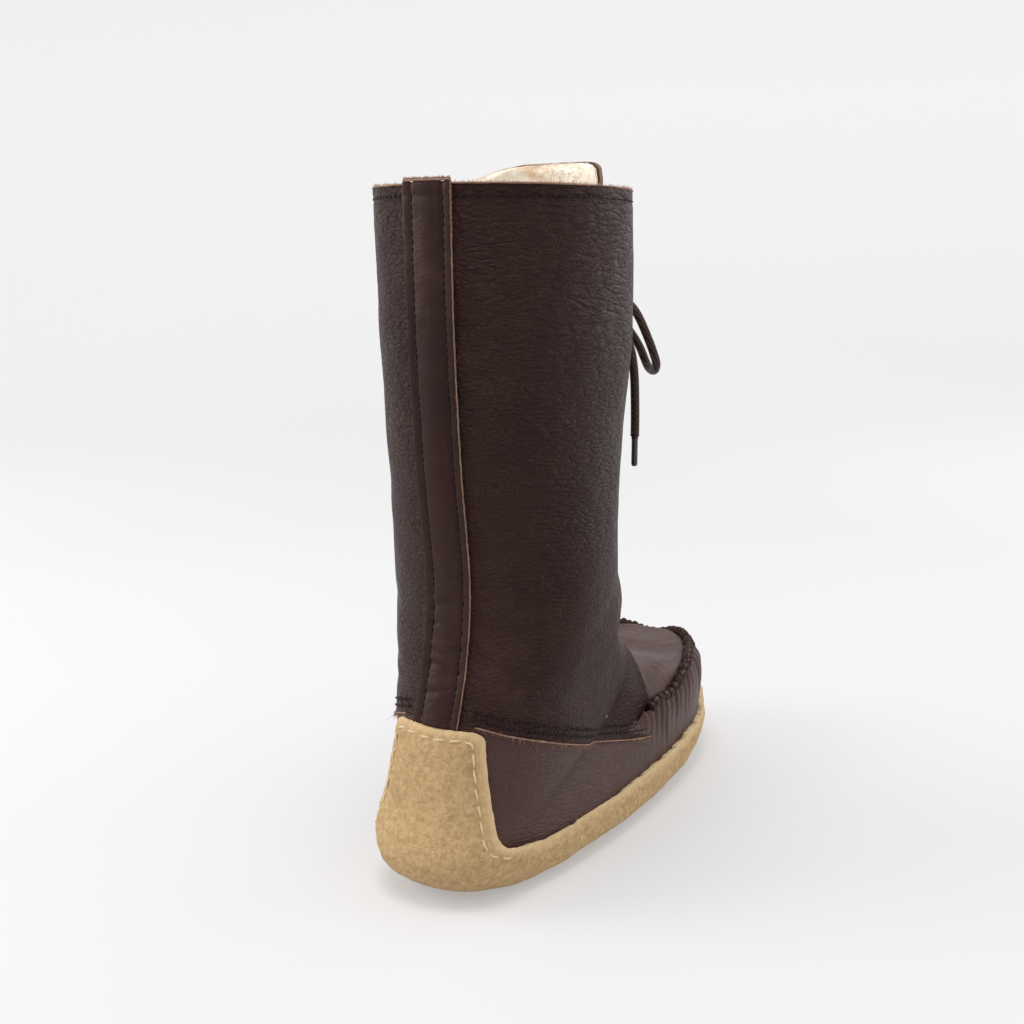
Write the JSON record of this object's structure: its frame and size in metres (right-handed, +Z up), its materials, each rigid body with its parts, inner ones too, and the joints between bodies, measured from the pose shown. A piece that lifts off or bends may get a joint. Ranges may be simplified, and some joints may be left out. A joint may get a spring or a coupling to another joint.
{
  "type": "mukluk boot",
  "caption": "Tall right-foot mukluk boot in brown pebbled hide: gathered moccasin toe, crepe cup sole with a heel tab, back strip, shearling lining and front lacing.",
  "frame": {"origin": "middle of the boot's footprint, on the floor that it stands on", "axes": "+Y to the toe, +X to the boot's right, +Z up the shaft"},
  "size_m": [0.114, 0.2964, 0.346],
  "materials": {
    "hide": "satin pebbled grain, raw cut edges",
    "crepe": "matte mottled crepe",
    "shearling": "deep matte pile",
    "lace": "matte round braid",
    "aglet": "satin",
    "brass": "antiqued"
  },
  "bodies": {
    "root": {"outsole": "crepe", "upper": "hide", "apron": "hide", "shaft": "hide", "back_strip": "hide", "tongue": "hide", "insole": "shearling", "pucker_seam": "hide", "eyelet_left_1": "brass", "eyelet_right_1": "brass", "eyelet_left_2": "brass", "eyelet_right_2": "brass", "eyelet_left_3": "brass", "eyelet_right_3": "brass", "eyelet_left_4": "brass", "eyelet_right_4": "brass", "eyelet_left_5": "brass", "eyelet_right_5": "brass", "lace_low_bar": "lace", "lace_cross_1": "lace", "lace_cross_2": "lace", "lace_cross_3": "lace", "lace_cross_4": "lace", "lace_top_left": "lace", "lace_top_right": "lace", "lace_knot": "lace", "lace_loop_left": "lace", "lace_end_left": "lace", "aglet_left": "aglet", "lace_loop_right": "lace", "lace_end_right": "lace", "aglet_right": "aglet"}
  },
  "joints": []
}
